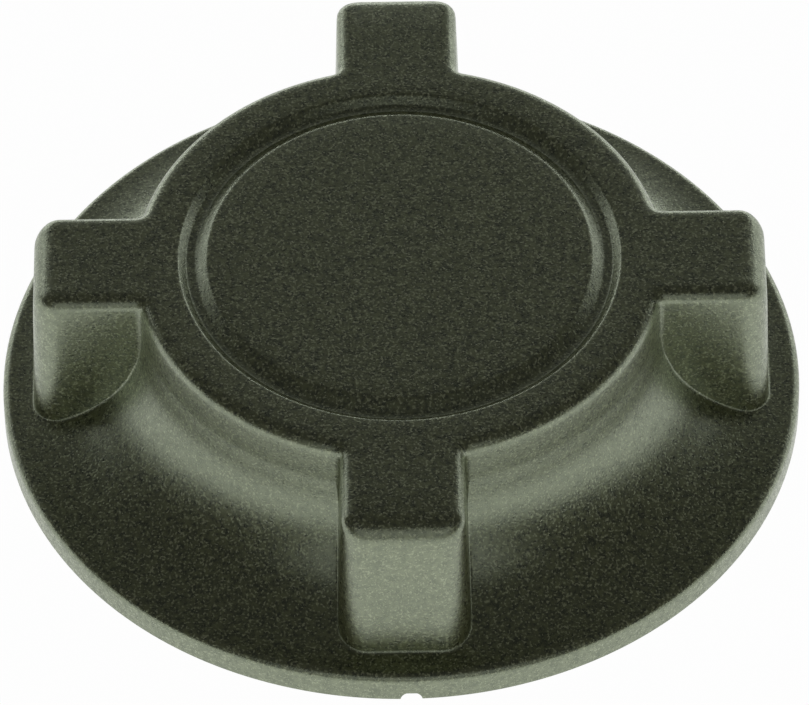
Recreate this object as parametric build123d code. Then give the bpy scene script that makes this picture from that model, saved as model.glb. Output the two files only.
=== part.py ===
"""Screw cap of a car's coolant reservoir, with the pressure and vacuum valve that hangs inside it.

Millimetres, +Z up. The origin is on the cap's axis, in the plane of the flange's flat underside.
One grip lug points along -Y, and the other three follow every quarter turn.
"""
import os
from math import cos, radians, sin, sqrt, tan

from build123d import *

# Cap body: moulded flange, flared hub and grip lugs
FLANGE_D = 70.0
RIM_H = 2.8
RIM_EDGE_R = 0.8
CAP_H = 18.2
HUB_TOP_D = 46.0
HUB_DRAFT_DEG = 1.5
FLARE_R = 11.0
CROWN_EDGE_R = 1.15
LUG_COUNT = 4
LUG_REACH = 31.75
LUG_TOP_W = 10.6
LUG_DRAFT_DEG = 1.6
LUG_CORNER_R = 2.2
LUG_ROOT_R = 0.35
FLANGE_WALL = 2.4
LUG_WALL = 2.5
LUG_POCKET_INSET = 1.0
ROOF_WALL = 2.8

# Round groove that frames the disc on top
GROOVE_OUTER_D = 38.4
GROOVE_INNER_D = 33.3
GROOVE_OUTER_SLOPE_W = 0.75
GROOVE_INNER_SLOPE_W = 1.1
GROOVE_DEPTH = 0.75

# Scar where the moulding's gate was broken off, low on the rim
GATE_SCAR_R = 0.95
GATE_SCAR_DEPTH = 0.7
GATE_SCAR_X = 0.5

# Socket for the reservoir's neck, with its threaded skirt
SOCKET_D = 40.4
SOCKET_LEAD_IN = 1.0
SKIRT_WALL = 2.9
RECESS_INSET = 2.7

# Snap ring under the roof that carries the valve insert and lets it turn
SNAP_BORE_D = 16.4
SNAP_WALL = 2.0
SNAP_RING_H = 3.0
SNAP_LIP_H = 0.9
SNAP_LIP_IN = 0.8
SNAP_CLEARANCE = 0.2

# Valve insert: pot, cover and neck seal
POT_D = 29.6
POT_BORE_D = 22.4
POT_FLOOR = 1.6
POT_BOTTOM_Z = 0.9
POT_LEAD_IN = 0.5
PORT_D = 12.0
SEAT_BEAD_D = 15.0
SEAT_BEAD_W = 1.2
SEAT_BEAD_H = 0.5
WINDOW_COUNT = 6
WINDOW_W = 4.0
WINDOW_H = 2.2
COVER_T = 1.2
COVER_LEDGE_W = 1.6
COVER_FIT = 0.05
SEAL_WIRE_D = 2.6
SEAL_GROOVE_DEPTH = 1.8
SEAL_GROOVE_SIDE = 0.1
SEAL_GROOVE_Z = 3.2

# Pressure valve: sprung plate with its rubber seal
PLATE_D = 19.6
PLATE_T = 1.0
PLATE_SKIRT_H = 0.7
PLATE_SKIRT_W = 0.6
PLATE_COLLAR_D = 11.2
PLATE_COLLAR_W = 0.7
PLATE_COLLAR_H = 1.2
SEAL_T = 1.2
SEAL_HOLE_D = 6.4
SEAL_SIDE_FIT = 0.05
AIR_HOLE_COUNT = 4
AIR_HOLE_D = 1.1
AIR_HOLE_PCD = 4.6
PRESSURE_WIRE_D = 1.3
PRESSURE_COIL_D = 14.6
PRESSURE_TURNS = 2.6

# Vacuum valve: small poppet that hangs through the pressure plate
POPPET_D = 9.2
POPPET_T = 0.8
STEM_D = 2.4
STEM_FIT = 0.06
STEM_H = 6.6
CLIP_D = 5.4
CLIP_T = 0.4
CLIP_BELOW_TOP = 0.5
CLIP_GROOVE_DEPTH = 0.4
CLIP_FIT = 0.03
VACUUM_WIRE_D = 0.4
VACUUM_COIL_D = 3.9
VACUUM_TURNS = 4.0

# Room above the valve stem inside the cover's stub
STEM_ROOM_D = 7.4
STEM_ROOM_H = 2.6

# Levels that follow from the sizes above
ROOF_Z = CAP_H - ROOF_WALL
LIP_Z = ROOF_Z - SNAP_RING_H
COVER_TOP_Z = LIP_Z - SNAP_CLEARANCE
COVER_Z = COVER_TOP_Z - COVER_T
FLOOR_Z = POT_BOTTOM_Z + POT_FLOOR
SEAT_Z = FLOOR_Z + SEAT_BEAD_H
PLATE_Z = SEAT_Z + SEAL_T
PLATE_TOP_Z = PLATE_Z + PLATE_T
STEM_TOP_Z = SEAT_Z + STEM_H
CLIP_Z = STEM_TOP_Z - CLIP_BELOW_TOP - CLIP_T


def ring(outer_d, inner_d, z, height):
    """Flat ring on the cap's axis, with its lower face at z."""
    outline = Circle(outer_d / 2) - Circle(inner_d / 2)
    return extrude(Pos(0, 0, z) * outline, height)


def disc(diameter, z, height):
    """Round disc on the cap's axis, with its lower face at z."""
    return extrude(Pos(0, 0, z) * Circle(diameter / 2), height)


def turned(*edges):
    """Solid of revolution about the cap's axis, from a closed outline of radius and height."""
    outline = make_face([Plane.XZ * edge for edge in edges])
    return revolve(outline, Axis.Z)


def polygon_turned(*points):
    """Solid of revolution of a straight-sided outline."""
    return revolve(make_face(Plane.XZ * Polyline(*points, close=True)), Axis.Z)


def spring(coil_d, wire_d, turns, low, high):
    """Round-wire coil spring that stands between two flat seats."""
    height = high - low - wire_d
    path = Pos(0, 0, low + wire_d / 2) * Helix(height / turns, height, coil_d / 2)
    section = Plane(origin=path @ 0, z_dir=path % 0) * Circle(wire_d / 2)
    return sweep(section, path=path, is_frenet=True)


# Cap body

def flare_height(radius, centre_r, centre_z, arc_r):
    """Height of the concave flare at a radius."""
    return centre_z - sqrt(arc_r**2 - (centre_r - radius) ** 2)


def hub_and_flange():
    """Flange whose top sweeps up in one concave curve into the hub's wall."""
    rim_r = FLANGE_D / 2
    top_r = HUB_TOP_D / 2
    draft = radians(HUB_DRAFT_DEG)
    centre_z = RIM_H + FLARE_R
    centre_r = top_r + (CAP_H - centre_z) * tan(draft) + FLARE_R / cos(draft)
    touch = (centre_r - FLARE_R * cos(draft), centre_z - FLARE_R * sin(draft))
    middle_angle = radians(225 + HUB_DRAFT_DEG / 2)
    middle = (centre_r + FLARE_R * cos(middle_angle), centre_z + FLARE_R * sin(middle_angle))
    outline = [
        Line((0, 0), (rim_r, 0)),
        Line((rim_r, 0), (rim_r, RIM_H)),
        Line((rim_r, RIM_H), (centre_r, RIM_H)),
        ThreePointArc((centre_r, RIM_H), middle, touch),
        Line(touch, (top_r, CAP_H)),
        Line((top_r, CAP_H), (0, CAP_H)),
        Line((0, CAP_H), (0, 0)),
    ]
    between_lugs = Rot(0, 0, 180 / LUG_COUNT)
    return between_lugs * turned(*outline), (centre_r, centre_z)


def lug():
    """Grip lug along -Y, wider towards its foot."""
    inner_r = HUB_TOP_D / 4
    length = LUG_REACH - inner_r
    outline = Pos(0, -inner_r - length / 2) * Rectangle(LUG_TOP_W, length)
    outer_corners = outline.vertices().group_by(Axis.Y)[0]
    outline = fillet(outer_corners, LUG_CORNER_R)
    return extrude(Pos(0, 0, CAP_H) * outline, CAP_H - RIM_H / 2, dir=(0, 0, -1), taper=-LUG_DRAFT_DEG)


def around(count, shape):
    """The shape repeated about the cap's axis at even angles."""
    return [Rot(0, 0, i * 360 / count) * shape for i in range(count)]


def lug_pocket():
    """Core pocket that keeps a lug's walls even, open to the recess under the flange."""
    inner_r = SOCKET_D / 2 + SKIRT_WALL + LUG_POCKET_INSET
    outer_r = LUG_REACH - LUG_WALL
    width = LUG_TOP_W - 2 * LUG_WALL
    outline = Pos(0, -(inner_r + outer_r) / 2) * Rectangle(width, outer_r - inner_r)
    return extrude(outline, CAP_H - LUG_WALL)


def flange_recess(flare):
    """Hollow under the flange that follows its flare at one wall thickness."""
    centre_r, centre_z = flare
    inner_r = SOCKET_D / 2 + SKIRT_WALL
    outer_r = centre_r - RECESS_INSET
    offset_r = FLARE_R + FLANGE_WALL
    middle_r = (inner_r + outer_r) / 2
    heights = [flare_height(r, centre_r, centre_z, offset_r) for r in (inner_r, middle_r, outer_r)]
    return turned(
        Line((inner_r, 0), (outer_r, 0)),
        Line((outer_r, 0), (outer_r, heights[2])),
        ThreePointArc((outer_r, heights[2]), (middle_r, heights[1]), (inner_r, heights[0])),
        Line((inner_r, heights[0]), (inner_r, 0)),
    )


def top_groove():
    """Groove with sloping sides round the disc on top."""
    outer_r = GROOVE_OUTER_D / 2
    inner_r = GROOVE_INNER_D / 2
    floor_z = CAP_H - GROOVE_DEPTH
    return polygon_turned(
        (inner_r, CAP_H),
        (inner_r + GROOVE_INNER_SLOPE_W, floor_z),
        (outer_r - GROOVE_OUTER_SLOPE_W, floor_z),
        (outer_r, CAP_H),
    )


def neck_socket():
    """Space that the reservoir's neck screws into, with a lead-in at its mouth."""
    r = SOCKET_D / 2
    return polygon_turned(
        (0, 0),
        (r + SOCKET_LEAD_IN, 0),
        (r, SOCKET_LEAD_IN),
        (r, ROOF_Z),
        (0, ROOF_Z),
    )


def snap_ring():
    """Ring under the roof whose lip holds the insert's stub."""
    inner_r = SNAP_BORE_D / 2
    outer_r = inner_r + SNAP_WALL
    return polygon_turned(
        (inner_r, ROOF_Z),
        (inner_r, LIP_Z + SNAP_LIP_H),
        (inner_r - SNAP_LIP_IN, LIP_Z + SNAP_LIP_H),
        (inner_r - SNAP_LIP_IN, LIP_Z),
        (outer_r, LIP_Z),
        (outer_r, ROOF_Z),
    )


def gate_scar():
    """Half-round scar low on the rim, beside the lug that points along -Y."""
    start = Plane(origin=(GATE_SCAR_X, -FLANGE_D / 2 - GATE_SCAR_DEPTH, 0), z_dir=(0, 1, 0))
    return extrude(start * Circle(GATE_SCAR_R), 2 * GATE_SCAR_DEPTH)


def on_lug_root(point):
    """True for a point where a lug's side meets the hub's wall or the flare."""
    radius = sqrt(point.X**2 + point.Y**2)
    across = min(abs(point.X), abs(point.Y))
    near_lug_side = LUG_TOP_W / 2 <= across <= LUG_TOP_W / 2 + 1
    return near_lug_side and HUB_TOP_D / 2 <= radius < LUG_REACH - 4 and RIM_H < point.Z < CAP_H


def cap_body():
    hub, flare = hub_and_flange()
    body = hub + around(LUG_COUNT, lug())
    root_edges = body.edges().filter_by(lambda e: on_lug_root(e.center()))
    body = fillet(root_edges, LUG_ROOT_R)
    body = fillet(body.faces().sort_by(Axis.Z)[-1].outer_wire().edges(), CROWN_EDGE_R)
    rim_edge = body.edges().filter_by(GeomType.CIRCLE).filter_by(
        lambda e: abs(e.radius - FLANGE_D / 2) < 0.01 and e.center().Z > RIM_H / 2
    )
    body = fillet(rim_edge, RIM_EDGE_R)
    body = body - top_groove() - neck_socket() - flange_recess(flare)
    body = body - around(LUG_COUNT, lug_pocket())
    body = body + snap_ring()
    return body - gate_scar()


# Valve insert

def valve_pot():
    """Pot with a valve seat round its port, vent windows and the groove for the neck seal."""
    ledge_d = POT_BORE_D + 2 * COVER_LEDGE_W
    outer_r = POT_D / 2
    body = polygon_turned(
        (0, POT_BOTTOM_Z),
        (outer_r - POT_LEAD_IN, POT_BOTTOM_Z),
        (outer_r, POT_BOTTOM_Z + POT_LEAD_IN),
        (outer_r, COVER_TOP_Z),
        (0, COVER_TOP_Z),
    )
    body = body - disc(POT_BORE_D, FLOOR_Z, COVER_TOP_Z - FLOOR_Z)
    body = body - disc(ledge_d, COVER_Z, COVER_T)
    body = body - disc(PORT_D, POT_BOTTOM_Z, POT_FLOOR)
    body = body + ring(SEAT_BEAD_D, SEAT_BEAD_D - 2 * SEAT_BEAD_W, FLOOR_Z, SEAT_BEAD_H)
    groove_h = SEAL_WIRE_D + 2 * SEAL_GROOVE_SIDE
    body = body - ring(POT_D + 1, POT_D - 2 * SEAL_GROOVE_DEPTH, SEAL_GROOVE_Z, groove_h)
    window_z = COVER_Z - WINDOW_H / 2 - WINDOW_H / 4
    window = Pos(POT_D / 2, 0, window_z) * Box(POT_BORE_D / 2, WINDOW_W, WINDOW_H)
    return body - around(WINDOW_COUNT, window)


def pot_cover():
    """Cover that closes the pot, bears the pressure spring and snaps into the cap."""
    plate_d = POT_BORE_D + 2 * COVER_LEDGE_W - 2 * COVER_FIT
    neck_d = SNAP_BORE_D - 2 * SNAP_LIP_IN - 2 * SNAP_CLEARANCE
    head_d = SNAP_BORE_D - 2 * SNAP_CLEARANCE
    head_z = LIP_Z + SNAP_LIP_H + SNAP_CLEARANCE
    head_top_z = ROOF_Z - SNAP_CLEARANCE
    body = disc(plate_d, COVER_Z, COVER_T)
    body = body + disc(neck_d, COVER_TOP_Z, head_z - COVER_TOP_Z)
    body = body + disc(head_d, head_z, head_top_z - head_z)
    return body - disc(STEM_ROOM_D, COVER_Z, STEM_ROOM_H)


def neck_seal():
    """O-ring in the pot's groove, which seals in the neck's bore."""
    centre_r = POT_D / 2 - SEAL_GROOVE_DEPTH + SEAL_WIRE_D / 2
    centre_z = SEAL_GROOVE_Z + SEAL_GROOVE_SIDE + SEAL_WIRE_D / 2
    section = Plane.XZ * Pos(centre_r, centre_z) * Circle(SEAL_WIRE_D / 2)
    return revolve(section, Axis.Z)


# Pressure valve

def pressure_plate():
    """Plate with a skirt round its seal, a collar inside its spring and holes for air."""
    body = disc(PLATE_D, PLATE_Z, PLATE_T)
    skirt_z = PLATE_Z - PLATE_SKIRT_H
    body = body + ring(PLATE_D, PLATE_D - 2 * PLATE_SKIRT_W, skirt_z, PLATE_SKIRT_H)
    collar_inner_d = PLATE_COLLAR_D - 2 * PLATE_COLLAR_W
    body = body + ring(PLATE_COLLAR_D, collar_inner_d, PLATE_TOP_Z, PLATE_COLLAR_H)
    body = body - disc(STEM_D + 2 * STEM_FIT, PLATE_Z, PLATE_T)
    air_hole = Pos(AIR_HOLE_PCD / 2, 0, PLATE_Z) * extrude(Circle(AIR_HOLE_D / 2), PLATE_T)
    return body - around(AIR_HOLE_COUNT, air_hole)


def pressure_seal():
    """Rubber washer under the plate, which both valves close against."""
    outer_d = PLATE_D - 2 * PLATE_SKIRT_W - 2 * SEAL_SIDE_FIT
    return ring(outer_d, SEAL_HOLE_D, SEAT_Z, SEAL_T)


# Vacuum valve

def vacuum_poppet():
    """Poppet whose stem passes up through the pressure plate."""
    body = disc(POPPET_D, SEAT_Z - POPPET_T, POPPET_T)
    body = body + disc(STEM_D, SEAT_Z, STEM_H)
    return body - ring(STEM_D + 1, STEM_D - 2 * CLIP_GROOVE_DEPTH, CLIP_Z, CLIP_T)


def stem_clip():
    """Clip in the stem's groove, which holds the small spring."""
    inner_d = STEM_D - 2 * CLIP_GROOVE_DEPTH + 2 * CLIP_FIT
    return ring(CLIP_D, inner_d, CLIP_Z, CLIP_T)


PIECES = {
    "cap_body": cap_body(),
    "valve_pot": valve_pot(),
    "pot_cover": pot_cover(),
    "neck_seal": neck_seal(),
    "pressure_plate": pressure_plate(),
    "pressure_seal": pressure_seal(),
    "pressure_spring": spring(PRESSURE_COIL_D, PRESSURE_WIRE_D, PRESSURE_TURNS, PLATE_TOP_Z, COVER_Z),
    "vacuum_poppet": vacuum_poppet(),
    "vacuum_spring": spring(VACUUM_COIL_D, VACUUM_WIRE_D, VACUUM_TURNS, PLATE_TOP_Z, CLIP_Z),
    "stem_clip": stem_clip(),
}

os.makedirs("parts", exist_ok=True)
for node, piece in PIECES.items():
    export_step(piece, f"parts/{node}.step")
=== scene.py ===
"""Looks of a coolant reservoir cap, built round its packed CAD part and laid out as an add-on."""
import math

import bpy
import bmesh
import numpy as np
from bpy.props import FloatProperty, FloatVectorProperty, PointerProperty
from mathutils import Matrix, Vector


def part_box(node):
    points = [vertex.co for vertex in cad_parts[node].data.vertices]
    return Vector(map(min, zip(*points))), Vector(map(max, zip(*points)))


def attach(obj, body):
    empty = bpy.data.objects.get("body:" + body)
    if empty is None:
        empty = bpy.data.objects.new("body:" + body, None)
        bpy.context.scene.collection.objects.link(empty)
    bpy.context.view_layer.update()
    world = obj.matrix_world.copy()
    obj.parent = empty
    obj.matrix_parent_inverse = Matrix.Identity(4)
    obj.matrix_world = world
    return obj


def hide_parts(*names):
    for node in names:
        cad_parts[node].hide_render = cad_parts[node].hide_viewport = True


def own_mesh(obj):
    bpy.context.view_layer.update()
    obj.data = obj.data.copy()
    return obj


bl_info = {
    "name": "Coolant Reservoir Cap",
    "version": (1, 0, 0),
    "blender": (4, 5, 0),
    "location": "View3D > Sidebar > Reservoir Cap",
    "description": "Builds a screw cap with grip lugs, its neck thread and the valve inside it",
    "category": "Object",
}

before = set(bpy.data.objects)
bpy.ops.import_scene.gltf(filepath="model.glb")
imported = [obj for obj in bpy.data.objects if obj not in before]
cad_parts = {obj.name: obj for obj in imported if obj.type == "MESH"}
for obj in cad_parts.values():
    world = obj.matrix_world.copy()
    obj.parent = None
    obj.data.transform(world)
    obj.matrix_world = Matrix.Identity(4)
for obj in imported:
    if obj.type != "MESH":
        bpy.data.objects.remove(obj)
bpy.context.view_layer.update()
MM = 0.001
LUGS = 4
SHARP_ANGLE = 28.0
WIRE_SHARP_ANGLE = 50.0

# Columns of the moulding's mesh round half a lug, and rows down its outside and underside
END_COLUMNS, CORNER_COLUMNS, SIDE_COLUMNS, ROOT_COLUMNS, HUB_COLUMNS = 6, 9, 9, 6, 20
EDGE_ROWS, WALL_ROWS, FOOT_ROWS, FLARE_ROWS, RIM_ROWS, RECESS_ROWS = 8, 7, 6, 20, 10, 9
RIM_RING = 0.6
FOOT_SEARCH_DEPTH = 0.5
FOOT_SEARCH_STEPS = 40

# Rings of the top face inside and outside the groove, in millimetres, and shares of the way to the edge
DISC_RINGS = (4.0, 9.0, 14.0)
DISC_EDGE_R = 14.5
LAND_R = 20.6
LAND_SHARES = (0.3, 0.65)

# Underside of the moulding, in millimetres
RECESS_INSET = 2.7
SOCKET_LEAD = 1.0
SNAP_BOSS_R = 10.2
SNAP_LIP_R = 7.4
SNAP_UNDERCUT_R = 8.2
SNAP_DEPTH = 3.0
SNAP_UNDERCUT_DEPTH = 2.1
ROOF_RING_R = 3.0
POCKET_INSET = 1.0
POCKET_FOOT = 0.3

# Gate scar under the front of the rim, in millimetres
SCAR_R = 0.95
SCAR_X = 0.5
SCAR_DEPTH = 0.7

# Ridge of the neck thread, in millimetres, with its half widths and its length in turns
THREAD_TURNS = 2.25
THREAD_STEPS = 96
THREAD_FADE_STEPS = 10
THREAD_START_Z = 2.4
THREAD_SINK = 0.08
THREAD_LEAST = 0.1
THREAD_FOOT_HALF = 1.0
THREAD_CREST_HALF = 0.4

# Valve springs, in millimetres
MAIN_SPRING = {"coil_radius": 7.3, "wire": 1.3, "turns": 2.6}
SMALL_SPRING = {"coil_radius": 1.95, "wire": 0.4, "turns": 4.0}

# Grain of the finishes, in features per metre, and the depth of the cap plastic's pits in metres
FINE_SCALE = 2600.0
MOTTLE_SCALE = 1300.0
SPECK_SCALE = 4600.0
PIT_SCALE = 4800.0
PIT_DEPTH = 0.0001
PLAIN_GRAIN_SCALE = 900.0

# Floor, in millimetres, and how much of it glows white to the camera
FLOOR_HALF = 3000.0
FLOOR_GAP = 0.05
FLOOR_GLOW = 0.985

# Brightness of the sky by height, from the horizon at 0 to overhead at 1
SKY = [(0.0, 0.16), (0.08, 0.07), (0.40, 0.054), (0.75, 0.050), (1.0, 0.06)]

# Soft boxes: name, place in metres, width and height in metres, power in watts
SOFT_BOXES = (
    ("back_box", (0.0, 0.75, 0.42), 1.3, 0.35, 0.34),
    ("back_strip", (0.0, 0.90, 0.06), 1.6, 0.12, 1.5),
    ("front_box", (0.0, -0.80, 0.42), 1.0, 0.60, 0.8),
    ("left_corner", (-0.62, 0.60, 0.25), 0.55, 0.22, 0.45),
    ("right_corner", (0.62, 0.60, 0.25), 0.55, 0.22, 0.45),
    ("left_strip", (-0.80, 0.25, 0.05), 0.9, 0.10, 0.10),
    ("right_strip", (0.80, 0.25, 0.05), 0.9, 0.10, 0.20),
)
LIGHT_AIM = (0.0, 0.0, 0.01)


def node_box(node):
    """Lowest and highest corner of a CAD node, in millimetres."""
    low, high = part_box(node)
    return Vector(low) / MM, Vector(high) / MM


BODY_HIGH = node_box("cap_body")[1]


class CapSizes(bpy.types.PropertyGroup):
    """Sizes of the cap's moulding, in millimetres."""
    flange_radius: FloatProperty(
        name="Flange radius", description="Radius of the rim, in mm", default=BODY_HIGH.x)
    height: FloatProperty(
        name="Height", description="From the flange's underside to the top, in mm", default=BODY_HIGH.z)
    rim_height: FloatProperty(
        name="Rim height", description="Height of the rim, in mm", default=2.8)
    rim_edge: FloatProperty(
        name="Rim edge", description="Rounding of the rim's top edge, in mm", default=0.8)
    rim_foot: FloatProperty(
        name="Rim foot", description="Bevel under the rim, in mm", default=0.12)
    hub_radius: FloatProperty(
        name="Hub radius", description="Radius of the hub at the top, in mm", default=23.0)
    flare_radius: FloatProperty(
        name="Flare", description="Radius of the concave flare, in mm", default=11.0)
    draft: FloatProperty(
        name="Draft", description="Draft of the hub's and lugs' walls", subtype="ANGLE",
        default=math.radians(1.65))
    crown_edge: FloatProperty(
        name="Crown edge", description="Rounding of the top edges, in mm", default=1.15)
    lug_reach: FloatProperty(
        name="Lug reach", description="From the axis to a lug's end, in mm", default=31.75)
    lug_width: FloatProperty(
        name="Lug width", description="Width of a lug at the top, in mm", default=10.6)
    lug_corner: FloatProperty(
        name="Lug corner", description="Upright corner rounding of a lug, in mm", default=2.2)
    lug_end: FloatProperty(
        name="Lug end", description="Rounding of a lug's end at the top, in mm", default=2.0)
    lug_root: FloatProperty(
        name="Lug root", description="Rounding where a lug meets the hub, in mm", default=0.7)
    foot_round: FloatProperty(
        name="Foot rounding", description="Rounding at a lug's foot, in mm", default=0.28)
    groove_outer: FloatProperty(
        name="Groove outer", description="Outer radius of the top groove, in mm", default=19.2)
    groove_inner: FloatProperty(
        name="Groove inner", description="Inner radius of the top groove, in mm", default=16.65)
    groove_outer_slope: FloatProperty(
        name="Outer slope", description="Width of the groove's outer slope, in mm", default=0.75)
    groove_inner_slope: FloatProperty(
        name="Inner slope", description="Width of the groove's inner slope, in mm", default=1.1)
    groove_depth: FloatProperty(
        name="Groove depth", description="Depth of the top groove, in mm", default=0.75)
    groove_edge: FloatProperty(
        name="Groove edge", description="Rounding of the groove's edges, in mm", default=0.18)
    socket_radius: FloatProperty(
        name="Socket radius", description="Radius of the neck socket, in mm", default=20.2)
    skirt_wall: FloatProperty(
        name="Skirt wall", description="Wall of the threaded skirt, in mm", default=2.9)
    flange_wall: FloatProperty(
        name="Flange wall", description="Wall of the flare, in mm", default=2.4)
    roof: FloatProperty(
        name="Roof", description="Thickness of the roof, in mm", default=2.8)
    lug_wall: FloatProperty(
        name="Lug wall", description="Wall of a hollow lug, in mm", default=2.5)
    thread_pitch: FloatProperty(
        name="Thread pitch", description="Pitch of the neck thread, in mm", default=4.0)
    thread_height: FloatProperty(
        name="Thread height", description="Height of the thread's ridge, in mm", default=1.15)


class CapColours(bpy.types.PropertyGroup):
    """Colours of the finishes."""
    plastic: FloatVectorProperty(
        name="Cap plastic", description="Ground colour of the moulding", subtype="COLOR",
        default=(0.060, 0.060, 0.022))
    speck: FloatVectorProperty(
        name="Speck", description="Colour of the glass specks", subtype="COLOR",
        default=(0.44, 0.44, 0.29))
    insert: FloatVectorProperty(
        name="Insert plastic", description="Colour of the valve insert", subtype="COLOR",
        default=(0.02, 0.02, 0.021))
    rubber: FloatVectorProperty(
        name="Rubber", description="Colour of the seals", subtype="COLOR", default=(0.012, 0.012, 0.012))
    brass: FloatVectorProperty(
        name="Brass", description="Colour of the valve metal", subtype="COLOR", default=(0.62, 0.43, 0.18))
    steel: FloatVectorProperty(
        name="Spring steel", description="Colour of the springs", subtype="COLOR",
        default=(0.52, 0.53, 0.54))
    floor: FloatVectorProperty(
        name="Floor", description="Colour of the floor", subtype="COLOR", default=(0.86, 0.86, 0.86))


class CapStage(bpy.types.PropertyGroup):
    """Place and lens of the camera."""
    elevation: FloatProperty(
        name="Elevation", description="Camera's height angle", subtype="ANGLE", default=math.radians(48.24))
    roll: FloatProperty(
        name="Roll", description="Camera's turn about its view", subtype="ANGLE",
        default=math.radians(0.81))
    distance: FloatProperty(
        name="Distance", description="Camera to the origin, in mm", default=754.7)
    lens: FloatProperty(
        name="Lens", description="Focal length", default=381.0, unit="CAMERA")
    aim_right: FloatProperty(
        name="Aim right", description="Aim beside the origin, in mm", default=0.27)
    aim_up: FloatProperty(
        name="Aim up", description="Aim above the origin, in mm", default=3.68)


class Flow:
    """One value in a node tree. Arithmetic on it adds Math nodes."""

    def __init__(self, tree, socket=None):
        self.tree = tree
        self.socket = socket

    def node(self, kind, settings=None, sockets=None, output=0):
        """Adds a node, sets it up, fills its sockets and returns one of its outputs."""
        made = self.tree.nodes.new(kind)
        for name, value in (settings or {}).items():
            if name == "stops":
                stops = made.color_ramp.elements
                while len(stops) < len(value):
                    stops.new(1.0)
                for stop, (position, shade) in zip(stops, value):
                    stop.position = position
                    stop.color = (shade, shade, shade, 1.0)
            else:
                setattr(made, name, value)
        for name, value in (sockets or {}).items():
            if isinstance(value, Flow):
                self.tree.links.new(value.socket, made.inputs[name])
            else:
                made.inputs[name].default_value = value
        return Flow(self.tree, made.outputs[output])

    def math(self, operation, first, second):
        return self.node("ShaderNodeMath", {"operation": operation}, {0: first, 1: second})

    def __add__(self, other):
        return self.math("ADD", self, other)

    def __radd__(self, other):
        return self.math("ADD", other, self)

    def __sub__(self, other):
        return self.math("SUBTRACT", self, other)

    def __rsub__(self, other):
        return self.math("SUBTRACT", other, self)

    def __mul__(self, other):
        return self.math("MULTIPLY", self, other)

    def __rmul__(self, other):
        return self.math("MULTIPLY", other, self)


def rgba(colour):
    """A colour property as four numbers."""
    return (colour[0], colour[1], colour[2], 1.0)


def new_material(name):
    """Empty material with its shader, and a Flow that adds nodes to it."""
    material = bpy.data.materials.new(name)
    material.use_nodes = True
    tree = material.node_tree
    shader = tree.nodes["Principled BSDF"]
    return material, shader, Flow(tree)


def feed(flow, shader, socket):
    """Links a value to one of the shader's sockets."""
    flow.tree.links.new(flow.socket, shader.inputs[socket])


def mix_colours(flow, factor, first, second):
    """Blends two colours by a value."""
    return flow.node(
        "ShaderNodeMix", {"data_type": "RGBA"}, {0: factor, 6: first, 7: second}, output=2)


def noise(flow, place, scale, detail=2.0, roughness=0.5):
    """Fractal noise at so many features per metre."""
    return flow.node(
        "ShaderNodeTexNoise", None,
        {"Vector": place, "Scale": scale, "Detail": detail, "Roughness": roughness})


def ramp(flow, value, stops):
    """Value passed through a curve of grey stops."""
    return flow.node("ShaderNodeValToRGB", {"stops": stops}, {"Fac": value})


def speckled_plastic(colours):
    """Glass-filled moulding: dark ground, pale specks and a fine grain."""
    material, shader, flow = new_material("speckled_plastic")
    shader.inputs["IOR"].default_value = 2.7
    shader.inputs["Coat IOR"].default_value = 1.9
    shader.inputs["Coat Roughness"].default_value = 0.29
    shader.inputs["Coat Tint"].default_value = (0.94, 1.0, 0.86, 1.0)
    shader.inputs["Specular Tint"].default_value = (0.88, 1.0, 0.74, 1.0)
    place = flow.node("ShaderNodeTexCoord", output="Object")
    fine = noise(flow, place, FINE_SCALE, detail=3.0, roughness=0.7)
    mottle = noise(flow, place, MOTTLE_SCALE, roughness=0.6)
    pits = noise(flow, place, PIT_SCALE, roughness=0.6)
    specks = ramp(flow, noise(flow, place, SPECK_SCALE, detail=1.0), [(0.57, 0.0), (0.65, 1.0)])
    grain = ramp(flow, fine * 0.55 + mottle * 0.45, [(0.38, 0.0), (0.62, 1.0)])
    dark = rgba([c * 0.25 for c in colours.plastic])
    pale = rgba([c * 2.1 for c in colours.plastic])
    ground = mix_colours(flow, grain, dark, pale)
    feed(mix_colours(flow, specks * 0.95, ground, rgba(colours.speck)), shader, "Base Color")
    feed(0.21 + fine * 0.16, shader, "Roughness")
    feed(grain * 0.6 + specks * 0.4, shader, "Coat Weight")
    bump = flow.node(
        "ShaderNodeBump", None, {"Strength": 0.3, "Distance": PIT_DEPTH, "Height": pits + specks * 0.3})
    feed(bump, shader, "Normal")
    return material


def plain_finish(name, colour, roughness, metallic=0.0, grain=0.0):
    """Even finish, with an optional fine grain in its gloss."""
    material, shader, flow = new_material(name)
    shader.inputs["Base Color"].default_value = rgba(colour)
    shader.inputs["Metallic"].default_value = metallic
    shader.inputs["Roughness"].default_value = roughness
    if grain:
        place = flow.node("ShaderNodeTexCoord", output="Object")
        worn = noise(flow, place, PLAIN_GRAIN_SCALE, detail=3.0)
        feed(roughness + (worn - 0.5) * grain, shader, "Roughness")
    return material


def mesh_object(name, vertices, faces, sharp_angle=SHARP_ANGLE):
    """Mesh object from millimetre points, smooth but for its sharp edges."""
    mesh = bpy.data.meshes.new(name)
    mesh.from_pydata([tuple(np.asarray(v, float) * MM) for v in vertices], [], faces)
    mesh.validate()
    made = bpy.data.objects.new(name, mesh)
    bpy.context.scene.collection.objects.link(made)
    smooth(mesh, sharp_angle)
    return made


def smooth(mesh, sharp_angle):
    """Smooth shading, with edges over an angle kept sharp."""
    mesh.polygons.foreach_set("use_smooth", [True] * len(mesh.polygons))
    mesh.set_sharp_from_angle(angle=math.radians(sharp_angle))


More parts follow.
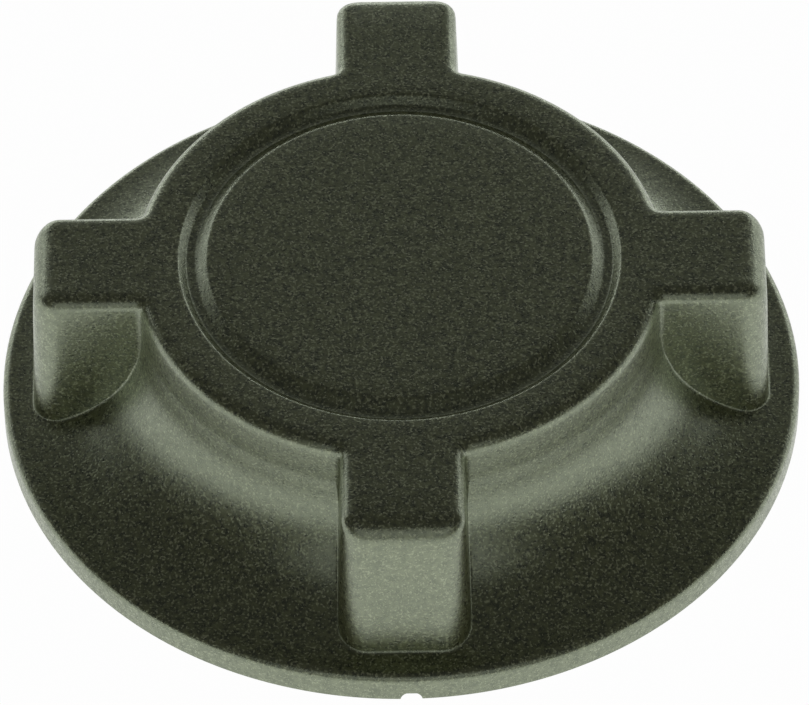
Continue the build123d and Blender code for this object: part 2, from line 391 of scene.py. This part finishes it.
def dress(piece, body, slot, material, *nodes):
    """Gives a piece its body, record slot, material and the CAD nodes it stands for."""
    piece.data.materials.clear()
    piece.data.materials.append(material)
    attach(piece, body)
    if nodes:
        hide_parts(*nodes)
    return piece


def material_named(name):
    """A material that the finishes operator has made."""
    return bpy.data.materials[name]


def lug_sector(size):
    """Top outline about a lug along +X, as rows of place, outward normal and share of lug end."""
    half = size.lug_width / 2
    corner, root = size.lug_corner, size.lug_root
    reach, hub = size.lug_reach, size.hub_radius
    root_x = math.sqrt((hub + root) ** 2 - (half + root) ** 2)
    hub_start = math.atan2(half + root, root_x)
    points = []
    for y in np.linspace(0, half - corner, END_COLUMNS)[:-1]:
        points.append((reach, y, 1, 0, 1))
    for a in np.linspace(0, math.pi / 2, CORNER_COLUMNS)[:-1]:
        nx, ny = math.cos(a), math.sin(a)
        points.append((reach - corner + corner * nx, half - corner + corner * ny, nx, ny, nx ** 2))
    for x in np.linspace(reach - corner, root_x, SIDE_COLUMNS)[:-1]:
        points.append((x, half, 0, 1, 0))
    for a in np.linspace(0, math.pi / 2 - hub_start, ROOT_COLUMNS)[:-1]:
        nx, ny = math.sin(a), math.cos(a)
        points.append((root_x - root * nx, half + root - root * ny, nx, ny, 0))
    for a in np.linspace(hub_start, math.pi / LUGS, HUB_COLUMNS):
        nx, ny = math.cos(a), math.sin(a)
        points.append((hub * nx, hub * ny, nx, ny, 0))
    mirrored = [(x, -y, nx, -ny, end) for x, y, nx, ny, end in points[:0:-1]]
    return np.array(mirrored + points[:-1])


def crown_outline(size):
    """Closed top outline of hub and lugs, anticlockwise: points, outward normals and share of lug end."""
    sector = lug_sector(size)
    rings = []
    for k in range(LUGS):
        a = 2 * math.pi * k / LUGS
        turn = np.array([[math.cos(a), math.sin(a)], [-math.sin(a), math.cos(a)]])
        rings.append(np.hstack([sector[:, :2] @ turn, sector[:, 2:4] @ turn, sector[:, 4:]]))
    ring = np.vstack(rings)
    return ring[:, :2], ring[:, 2:4], ring[:, 4]


class Flare:
    """Concave curve from the rim's top up to the hub's wall."""

    def __init__(self, size):
        self.radius = size.flare_radius
        self.centre_z = size.rim_height + self.radius
        self.centre_r = (size.hub_radius + (size.height - self.centre_z) * math.tan(size.draft)
                         + self.radius / math.cos(size.draft))

    def height(self, r, extra=0.0):
        """Height of the flare at a radius, or of a curve that many mm below it."""
        inside = np.maximum((self.radius + extra) ** 2 - (self.centre_r - r) ** 2, 0)
        return np.where(r < self.centre_r, self.centre_z - np.sqrt(inside),
                        self.centre_z - self.radius - extra)


def wall_feet(points, normals, size, flare):
    """Height at which each column of the crown's wall meets the flare."""
    top = size.height - size.crown_edge
    slope = math.tan(size.draft)
    high = np.full(len(points), top)
    low = np.full(len(points), size.rim_height - FOOT_SEARCH_DEPTH)
    for _ in range(FOOT_SEARCH_STEPS):
        middle = (high + low) / 2
        place = points + normals * ((top - middle) * slope)[:, None]
        below = middle < flare.height(np.hypot(place[:, 0], place[:, 1]))
        low = np.where(below, middle, low)
        high = np.where(below, high, middle)
    return high


def level(points, z):
    """Row of points at one height or at a height each."""
    return np.column_stack([points, np.broadcast_to(z, len(points))])


def outside_rows(size):
    """Rows of the moulding's outside, from the crown's inner edge down to the rim's foot."""
    points, normals, ends = crown_outline(size)
    flare = Flare(size)
    top = size.height
    edge = size.crown_edge + (size.lug_end - size.crown_edge) * ends
    slope = math.tan(size.draft)
    rows = []
    for a in np.linspace(0, math.pi / 2, EDGE_ROWS):
        inward = edge * (1 - math.sin(a))
        rows.append(level(points - normals * inward[:, None], top - edge * (1 - math.cos(a))))
    foot_z = wall_feet(points, normals, size, flare)
    draft_z = top - size.crown_edge
    start_z = top - edge
    stop_z = np.minimum(foot_z + size.foot_round, start_z)
    for t in np.linspace(0, 1, WALL_ROWS)[1:]:
        z = start_z + (stop_z - start_z) * t
        rows.append(level(points + normals * ((draft_z - z) * slope)[:, None], z))
    stop = rows[-1]
    foot = level(points + normals * ((draft_z - foot_z) * slope)[:, None], foot_z)
    out = foot[:, :2] + normals * size.foot_round
    out_r = np.hypot(out[:, 0], out[:, 1])
    out = level(out, flare.height(out_r))
    for t in np.linspace(0, 1, FOOT_ROWS)[1:]:
        rows.append((1 - t) ** 2 * stop + 2 * t * (1 - t) * foot + t * t * out)
    aim = out[:, :2] / out_r[:, None]
    start = np.arccos(np.clip((flare.centre_r - out_r) / flare.radius, 0, 1))
    rim, round_r = size.flange_radius, size.rim_edge
    lead = math.asin(max(0.0, (flare.centre_r - rim + round_r) / (flare.radius + round_r)))
    for t in np.linspace(0, 1, FLARE_ROWS)[1:]:
        a = start + (math.pi / 2 - lead - start) * t
        r = flare.centre_r - flare.radius * np.cos(a)
        rows.append(level(aim * r[:, None], flare.centre_z - flare.radius * np.sin(a)))
    round_z = flare.centre_z - (flare.radius + round_r) * math.cos(lead)
    for a in np.linspace(lead, math.pi / 2, RIM_ROWS)[1:]:
        rows.append(level(aim * (rim - round_r + round_r * math.sin(a)), round_z + round_r * math.cos(a)))
    rows.append(level(aim * rim, size.rim_foot + RIM_RING))
    rows.append(level(aim * rim, size.rim_foot))
    rows.append(level(aim * (rim - size.rim_foot), 0.0))
    return rows, aim


def top_rows(size, inner_edge):
    """Rows of the top face, from the middle out through the groove to the crown's inner edge."""
    aim = inner_edge[:, :2] / np.hypot(inner_edge[:, 0], inner_edge[:, 1])[:, None]
    floor_z = size.height - size.groove_depth
    corners = [(DISC_EDGE_R, size.height), (size.groove_inner, size.height),
               (size.groove_inner + size.groove_inner_slope, floor_z),
               (size.groove_outer - size.groove_outer_slope, floor_z),
               (size.groove_outer, size.height), (LAND_R, size.height)]
    path = [(r, size.height) for r in DISC_RINGS] + rounded_path(corners, size.groove_edge)
    rows = [level(aim * r, z) for r, z in path]
    last = rows[-1]
    for t in LAND_SHARES:
        rows.append(last + (inner_edge - last) * t)
    return rows


def rounded_path(corners, radius, steps=4):
    """Polyline with each inner corner replaced by a small arc-like curve."""
    corners = [np.array(c, float) for c in corners]
    path = [corners[0]]
    for before, corner, after in zip(corners, corners[1:], corners[2:]):
        into = (before - corner) / np.linalg.norm(before - corner)
        away = (after - corner) / np.linalg.norm(after - corner)
        first, last = corner + into * radius, corner + away * radius
        for t in np.linspace(0, 1, steps + 1):
            path.append((1 - t) ** 2 * first + 2 * t * (1 - t) * corner + t * t * last)
    path.append(corners[-1])
    return path


def underside_rows(size, aim):
    """Rows of the moulding's underside, from the rim's foot in to the middle of the roof."""
    flare = Flare(size)
    recess_outer = flare.centre_r - RECESS_INSET
    recess_inner = size.socket_radius + size.skirt_wall
    roof_z = size.height - size.roof
    path = [(recess_outer, 0.0)]
    for r in np.linspace(recess_outer, recess_inner, RECESS_ROWS):
        path.append((r, float(flare.height(r, size.flange_wall))))
    lip_z, undercut_z = roof_z - SNAP_DEPTH, roof_z - SNAP_UNDERCUT_DEPTH
    socket = size.socket_radius
    path += [(recess_inner, 0.0), (socket + SOCKET_LEAD, 0.0), (socket, SOCKET_LEAD), (socket, roof_z),
             (SNAP_BOSS_R, roof_z), (SNAP_BOSS_R, lip_z), (SNAP_LIP_R, lip_z),
             (SNAP_LIP_R, undercut_z), (SNAP_UNDERCUT_R, undercut_z), (SNAP_UNDERCUT_R, roof_z),
             (ROOF_RING_R, roof_z)]
    return [level(aim * r, z) for r, z in path]


def skin(rows, top_z, under_z):
    """Closed mesh over rows of points, with a fan at each end."""
    count = len(rows[0])
    vertices = list(np.vstack(rows)) + [(0, 0, top_z), (0, 0, under_z)]
    faces = []
    for i in range(len(rows) - 1):
        for j in range(count):
            k = (j + 1) % count
            faces.append((i * count + j, (i + 1) * count + j, (i + 1) * count + k, i * count + k))
    top, under = len(vertices) - 2, len(vertices) - 1
    last = (len(rows) - 1) * count
    for j in range(count):
        k = (j + 1) % count
        faces.append((top, j, k))
        faces.append((under, last + k, last + j))
    return vertices, faces


def cutter_from(shape):
    """Object to cut with, from a finished bmesh."""
    mesh = bpy.data.meshes.new("cutter")
    shape.to_mesh(mesh)
    shape.free()
    cutter = bpy.data.objects.new("cutter", mesh)
    bpy.context.scene.collection.objects.link(cutter)
    return cutter


def box_cutter(low, high):
    """Plain box to cut with, from its corners in millimetres."""
    low, high = Vector(low) * MM, Vector(high) * MM
    shape = bmesh.new()
    bmesh.ops.create_cube(shape, size=1.0)
    shape.transform(Matrix.Translation((low + high) / 2) @ Matrix.Diagonal((*(high - low), 1.0)))
    return cutter_from(shape)


def rod_cutter(radius, start, end):
    """Round rod to cut with, along a line in millimetres."""
    start, end = Vector(start) * MM, Vector(end) * MM
    along = end - start
    shape = bmesh.new()
    bmesh.ops.create_cone(
        shape, cap_ends=True, segments=32, radius1=radius * MM, radius2=radius * MM, depth=along.length)
    turn = along.to_track_quat("Z", "Y").to_matrix().to_4x4()
    shape.transform(Matrix.Translation((start + end) / 2) @ turn)
    return cutter_from(shape)


def lug_pockets(size):
    """Boxes that hollow the lugs from underneath."""
    inner = size.socket_radius + size.skirt_wall + POCKET_INSET
    outer = size.lug_reach - size.lug_wall
    half = size.lug_width / 2 - size.lug_wall
    high = size.height - size.lug_wall
    return [box_cutter((inner, -half, POCKET_FOOT), (outer, half, high)),
            box_cutter((-outer, -half, POCKET_FOOT), (-inner, half, high)),
            box_cutter((-half, inner, POCKET_FOOT), (half, outer, high)),
            box_cutter((-half, -outer, POCKET_FOOT), (half, -inner, high))]


def gate_scar(size):
    """Rod that cuts the scar into the front of the rim."""
    rim_y = -size.flange_radius
    return rod_cutter(SCAR_R, (SCAR_X, rim_y - 1, 0), (SCAR_X, rim_y + SCAR_DEPTH, 0))


def cut(piece, cutters):
    """Takes cutters away from a piece, and removes them."""
    for cutter in cutters:
        step = piece.modifiers.new("cut", "BOOLEAN")
        step.operation, step.solver, step.object = "DIFFERENCE", "EXACT", cutter
    depsgraph = bpy.context.evaluated_depsgraph_get()
    result = bpy.data.meshes.new_from_object(piece.evaluated_get(depsgraph))
    piece.modifiers.clear()
    old = piece.data
    piece.data = result
    bpy.data.meshes.remove(old)
    for cutter in cutters:
        mesh = cutter.data
        bpy.data.objects.remove(cutter)
        bpy.data.meshes.remove(mesh)
    smooth(piece.data, SHARP_ANGLE)


def coil(name, low, high, coil_radius, wire, turns, sides=12, steps=40):
    """Round-wire spring with closed ends, between two seats, in millimetres."""
    count = int(turns * steps)
    rise = high - low - wire
    vertices, faces = [], []
    for i in range(count + 1):
        t = i / count
        a = 2 * math.pi * turns * t
        centre = Vector((coil_radius * math.cos(a), coil_radius * math.sin(a), low + wire / 2 + rise * t))
        outward = Vector((math.cos(a), math.sin(a), 0))
        for k in range(sides):
            b = 2 * math.pi * k / sides
            vertices.append(centre + (outward * math.cos(b) + Vector((0, 0, math.sin(b)))) * wire / 2)
    for i in range(count):
        for k in range(sides):
            n = (k + 1) % sides
            faces.append((i * sides + k, i * sides + n, (i + 1) * sides + n, (i + 1) * sides + k))
    faces.append(tuple(range(sides))[::-1])
    faces.append(tuple(count * sides + k for k in range(sides)))
    return mesh_object(name, vertices, faces, WIRE_SHARP_ANGLE)


class CAP_OT_finishes(bpy.types.Operator):
    """Makes the materials that the pieces wear"""
    bl_idname = "reservoir_cap.finishes"
    bl_label = "Finishes"

    def execute(self, context):
        colours = context.scene.cap_colours
        speckled_plastic(colours)
        plain_finish("insert_plastic", colours.insert, roughness=0.42, grain=0.1)
        plain_finish("seal_rubber", colours.rubber, roughness=0.55, grain=0.1)
        plain_finish("valve_brass", colours.brass, roughness=0.32, metallic=1.0, grain=0.12)
        plain_finish("spring_steel", colours.steel, roughness=0.28, metallic=1.0, grain=0.08)
        return {"FINISHED"}


class CAP_OT_moulding(bpy.types.Operator):
    """Builds the flange, flared hub, lugs and the hollow underside as one moulding"""
    bl_idname = "reservoir_cap.moulding"
    bl_label = "Moulding"

    def execute(self, context):
        size = context.scene.cap_sizes
        outside, aim = outside_rows(size)
        rows = top_rows(size, outside[0]) + outside + underside_rows(size, aim)
        vertices, faces = skin(rows, size.height, size.height - size.roof)
        moulding = mesh_object("moulding", vertices, faces)
        cut(moulding, lug_pockets(size) + [gate_scar(size)])
        dress(moulding, "cap", "cap_plastic", material_named("speckled_plastic"), "cap_body")
        return {"FINISHED"}


class CAP_OT_thread(bpy.types.Operator):
    """Winds the thread that grips the reservoir's neck round the socket's wall"""
    bl_idname = "reservoir_cap.thread"
    bl_label = "Neck thread"

    def execute(self, context):
        size = context.scene.cap_sizes
        wall = size.socket_radius + THREAD_SINK
        count = int(THREAD_TURNS * THREAD_STEPS)
        vertices, faces = [], []
        for i in range(count + 1):
            a = 2 * math.pi * i / THREAD_STEPS
            fade = min(1.0, i / THREAD_FADE_STEPS, (count - i) / THREAD_FADE_STEPS)
            crest = wall - THREAD_LEAST - size.thread_height * fade
            z = THREAD_START_Z + size.thread_pitch * i / THREAD_STEPS
            for r, dz in ((wall, -THREAD_FOOT_HALF), (crest, -THREAD_CREST_HALF),
                          (crest, THREAD_CREST_HALF), (wall, THREAD_FOOT_HALF)):
                vertices.append((r * math.cos(a), r * math.sin(a), z + dz))
        for i in range(count):
            for k in range(4):
                n = (k + 1) % 4
                faces.append((i * 4 + k, (i + 1) * 4 + k, (i + 1) * 4 + n, i * 4 + n))
        faces.append((0, 1, 2, 3))
        faces.append(tuple(count * 4 + k for k in (3, 2, 1, 0)))
        ridge = mesh_object("neck_thread", vertices, faces)
        dress(ridge, "cap", "cap_plastic", material_named("speckled_plastic"))
        return {"FINISHED"}


class CAP_OT_insert(bpy.types.Operator):
    """Gives the valve insert's pot, cover and O-ring their finishes"""
    bl_idname = "reservoir_cap.insert"
    bl_label = "Valve insert"

    def execute(self, context):
        for node in ("valve_pot", "pot_cover"):
            finish_node(node, "insert_plastic")
        finish_node("neck_seal", "seal_rubber")
        return {"FINISHED"}


class CAP_OT_valves(bpy.types.Operator):
    """Gives the pressure and vacuum valves their finishes"""
    bl_idname = "reservoir_cap.valves"
    bl_label = "Valves"

    def execute(self, context):
        finish_node("pressure_plate", "valve_brass")
        finish_node("vacuum_poppet", "valve_brass")
        finish_node("pressure_seal", "seal_rubber")
        finish_node("stem_clip", "spring_steel")
        return {"FINISHED"}


def finish_node(node, material):
    """Puts a material on a CAD node and smooths its shading."""
    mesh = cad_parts[node].data
    mesh.materials.clear()
    mesh.materials.append(material_named(material))
    smooth(mesh, SHARP_ANGLE)


class CAP_OT_springs(bpy.types.Operator):
    """Winds the two valve springs, which shorten as their valves move"""
    bl_idname = "reservoir_cap.springs"
    bl_label = "Springs"

    def execute(self, context):
        low, high = node_box("pressure_spring")
        main = coil("main_spring", low.z, high.z, **MAIN_SPRING)
        dress(main, "valve_insert", "spring_steel", material_named("spring_steel"), "pressure_spring")
        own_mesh(main)
        low, high = node_box("vacuum_spring")
        small = coil("small_spring", low.z, high.z, **SMALL_SPRING)
        dress(small, "pressure_valve", "spring_steel", material_named("spring_steel"), "vacuum_spring")
        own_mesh(small)
        return {"FINISHED"}


def soft_box(name, place, width, height, power):
    """Area light at a place in metres, turned to face the cap."""
    light = bpy.data.lights.new(name, "AREA")
    light.shape = "RECTANGLE"
    light.size, light.size_y = width, height
    light.energy = power
    lamp = bpy.data.objects.new(name, light)
    bpy.context.scene.collection.objects.link(lamp)
    lamp.location = place
    lamp.rotation_euler = (Vector(LIGHT_AIM) - Vector(place)).to_track_quat("-Z", "Y").to_euler()


def white_floor(colour):
    """Floor that is all but white to the camera, so its shadow hardly shows, and clear from underneath."""
    material, shader, flow = new_material("white_floor")
    shader.inputs["Base Color"].default_value = rgba(colour)
    shader.inputs["Roughness"].default_value = 1.0
    shader.inputs["Specular IOR Level"].default_value = 0.0
    seen, mirrored, through = (flow.node("ShaderNodeLightPath", output=name) for name in (
        "Is Camera Ray", "Is Glossy Ray", "Is Transmission Ray"))
    glow = flow.node("ShaderNodeEmission", None, {"Color": (1, 1, 1, 1), "Strength": 1.0})
    body = Flow(flow.tree, shader.outputs[0])
    white = seen * FLOOR_GLOW + mirrored + through
    blend = flow.node("ShaderNodeMixShader", None, {0: white, 1: body, 2: glow})
    underneath = flow.node("ShaderNodeNewGeometry", output="Backfacing")
    clear = flow.node("ShaderNodeBsdfTransparent")
    one_sided = flow.node("ShaderNodeMixShader", None, {0: underneath, 1: blend, 2: clear})
    feed(one_sided, material.node_tree.nodes["Material Output"], "Surface")
    return material


class CAP_OT_stage(bpy.types.Operator):
    """Adds the floor, the soft light and the camera"""
    bl_idname = "reservoir_cap.stage"
    bl_label = "Stage"

    def execute(self, context):
        scene = context.scene
        stage = scene.cap_stage
        scene.view_settings.view_transform = "Standard"
        half, z = FLOOR_HALF, -FLOOR_GAP
        corners = [(-half, -half, z), (half, -half, z), (half, half, z), (-half, half, z)]
        floor = mesh_object("floor", corners, [(0, 1, 2, 3)])
        floor.data.materials.append(white_floor(scene.cap_colours.floor))
        self.world(scene)
        self.lights()
        self.camera(scene, stage)
        return {"FINISHED"}

    def world(self, scene):
        """Dim sky, brightest at the horizon, and plain white to the camera."""
        world = bpy.data.worlds.new("studio")
        world.use_nodes = True
        scene.world = world
        tree = world.node_tree
        flow = Flow(tree)
        background = tree.nodes["Background"]
        place = flow.node("ShaderNodeTexCoord", output="Generated")
        up = flow.node("ShaderNodeSeparateXYZ", None, {0: place}, output="Z")
        sky = ramp(flow, up, SKY)
        seen = flow.node("ShaderNodeLightPath", output="Is Camera Ray")
        feed(mix_colours(flow, seen, sky, (1, 1, 1, 1)), background, "Color")
        background.inputs["Strength"].default_value = 1.0

    def lights(self):
        """Soft boxes behind, in front and to the sides."""
        for name, place, width, height, power in SOFT_BOXES:
            soft_box(name, place, width, height, power)

    def camera(self, scene, stage):
        """Long lens at the photograph's viewing angle."""
        data = bpy.data.cameras.new("camera")
        data.lens = stage.lens
        data.sensor_width = 36.0
        data.clip_start, data.clip_end = 0.05, 20.0
        camera = bpy.data.objects.new("camera", data)
        scene.collection.objects.link(camera)
        e = stage.elevation
        back = Vector((0, -math.cos(e), math.sin(e)))
        right, up = Vector((1, 0, 0)), Vector((0, math.sin(e), math.cos(e)))
        roll = Matrix.Rotation(stage.roll, 3, -back)
        right, up = roll @ right, roll @ up
        place = back * stage.distance * MM
        aim = (right * stage.aim_right + up * stage.aim_up) * MM
        look = (place - aim).normalized()
        side = up.cross(look).normalized()
        over = look.cross(side)
        turn = Matrix((side, over, look)).transposed().to_4x4()
        camera.matrix_world = Matrix.Translation(place) @ turn
        scene.camera = camera


class CAP_PT_panel(bpy.types.Panel):
    """Lists the steps that build the cap"""
    bl_label = "Reservoir Cap"
    bl_idname = "CAP_PT_panel"
    bl_space_type = "VIEW_3D"
    bl_region_type = "UI"
    bl_category = "Reservoir Cap"

    def draw(self, context):
        for step in STEPS:
            self.layout.operator(step.bl_idname)
        for name in ("cap_sizes", "cap_colours", "cap_stage"):
            group = getattr(context.scene, name)
            column = self.layout.column(heading=group.__doc__)
            for prop in group.bl_rna.properties:
                if prop.identifier not in ("name", "rna_type"):
                    column.prop(group, prop.identifier)


STEPS = (CAP_OT_finishes, CAP_OT_moulding, CAP_OT_thread, CAP_OT_insert, CAP_OT_valves, CAP_OT_springs,
         CAP_OT_stage)
CLASSES = (CapSizes, CapColours, CapStage) + STEPS + (CAP_PT_panel,)


def register():
    for cls in CLASSES:
        bpy.utils.register_class(cls)
    bpy.types.Scene.cap_sizes = PointerProperty(type=CapSizes)
    bpy.types.Scene.cap_colours = PointerProperty(type=CapColours)
    bpy.types.Scene.cap_stage = PointerProperty(type=CapStage)


def unregister():
    del bpy.types.Scene.cap_stage
    del bpy.types.Scene.cap_colours
    del bpy.types.Scene.cap_sizes
    for cls in reversed(CLASSES):
        bpy.utils.unregister_class(cls)


def main():
    register()
    bpy.ops.reservoir_cap.finishes()
    bpy.ops.reservoir_cap.moulding()
    bpy.ops.reservoir_cap.thread()
    bpy.ops.reservoir_cap.insert()
    bpy.ops.reservoir_cap.valves()
    bpy.ops.reservoir_cap.springs()
    bpy.ops.reservoir_cap.stage()
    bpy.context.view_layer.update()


if __name__ == "__main__":
    main()
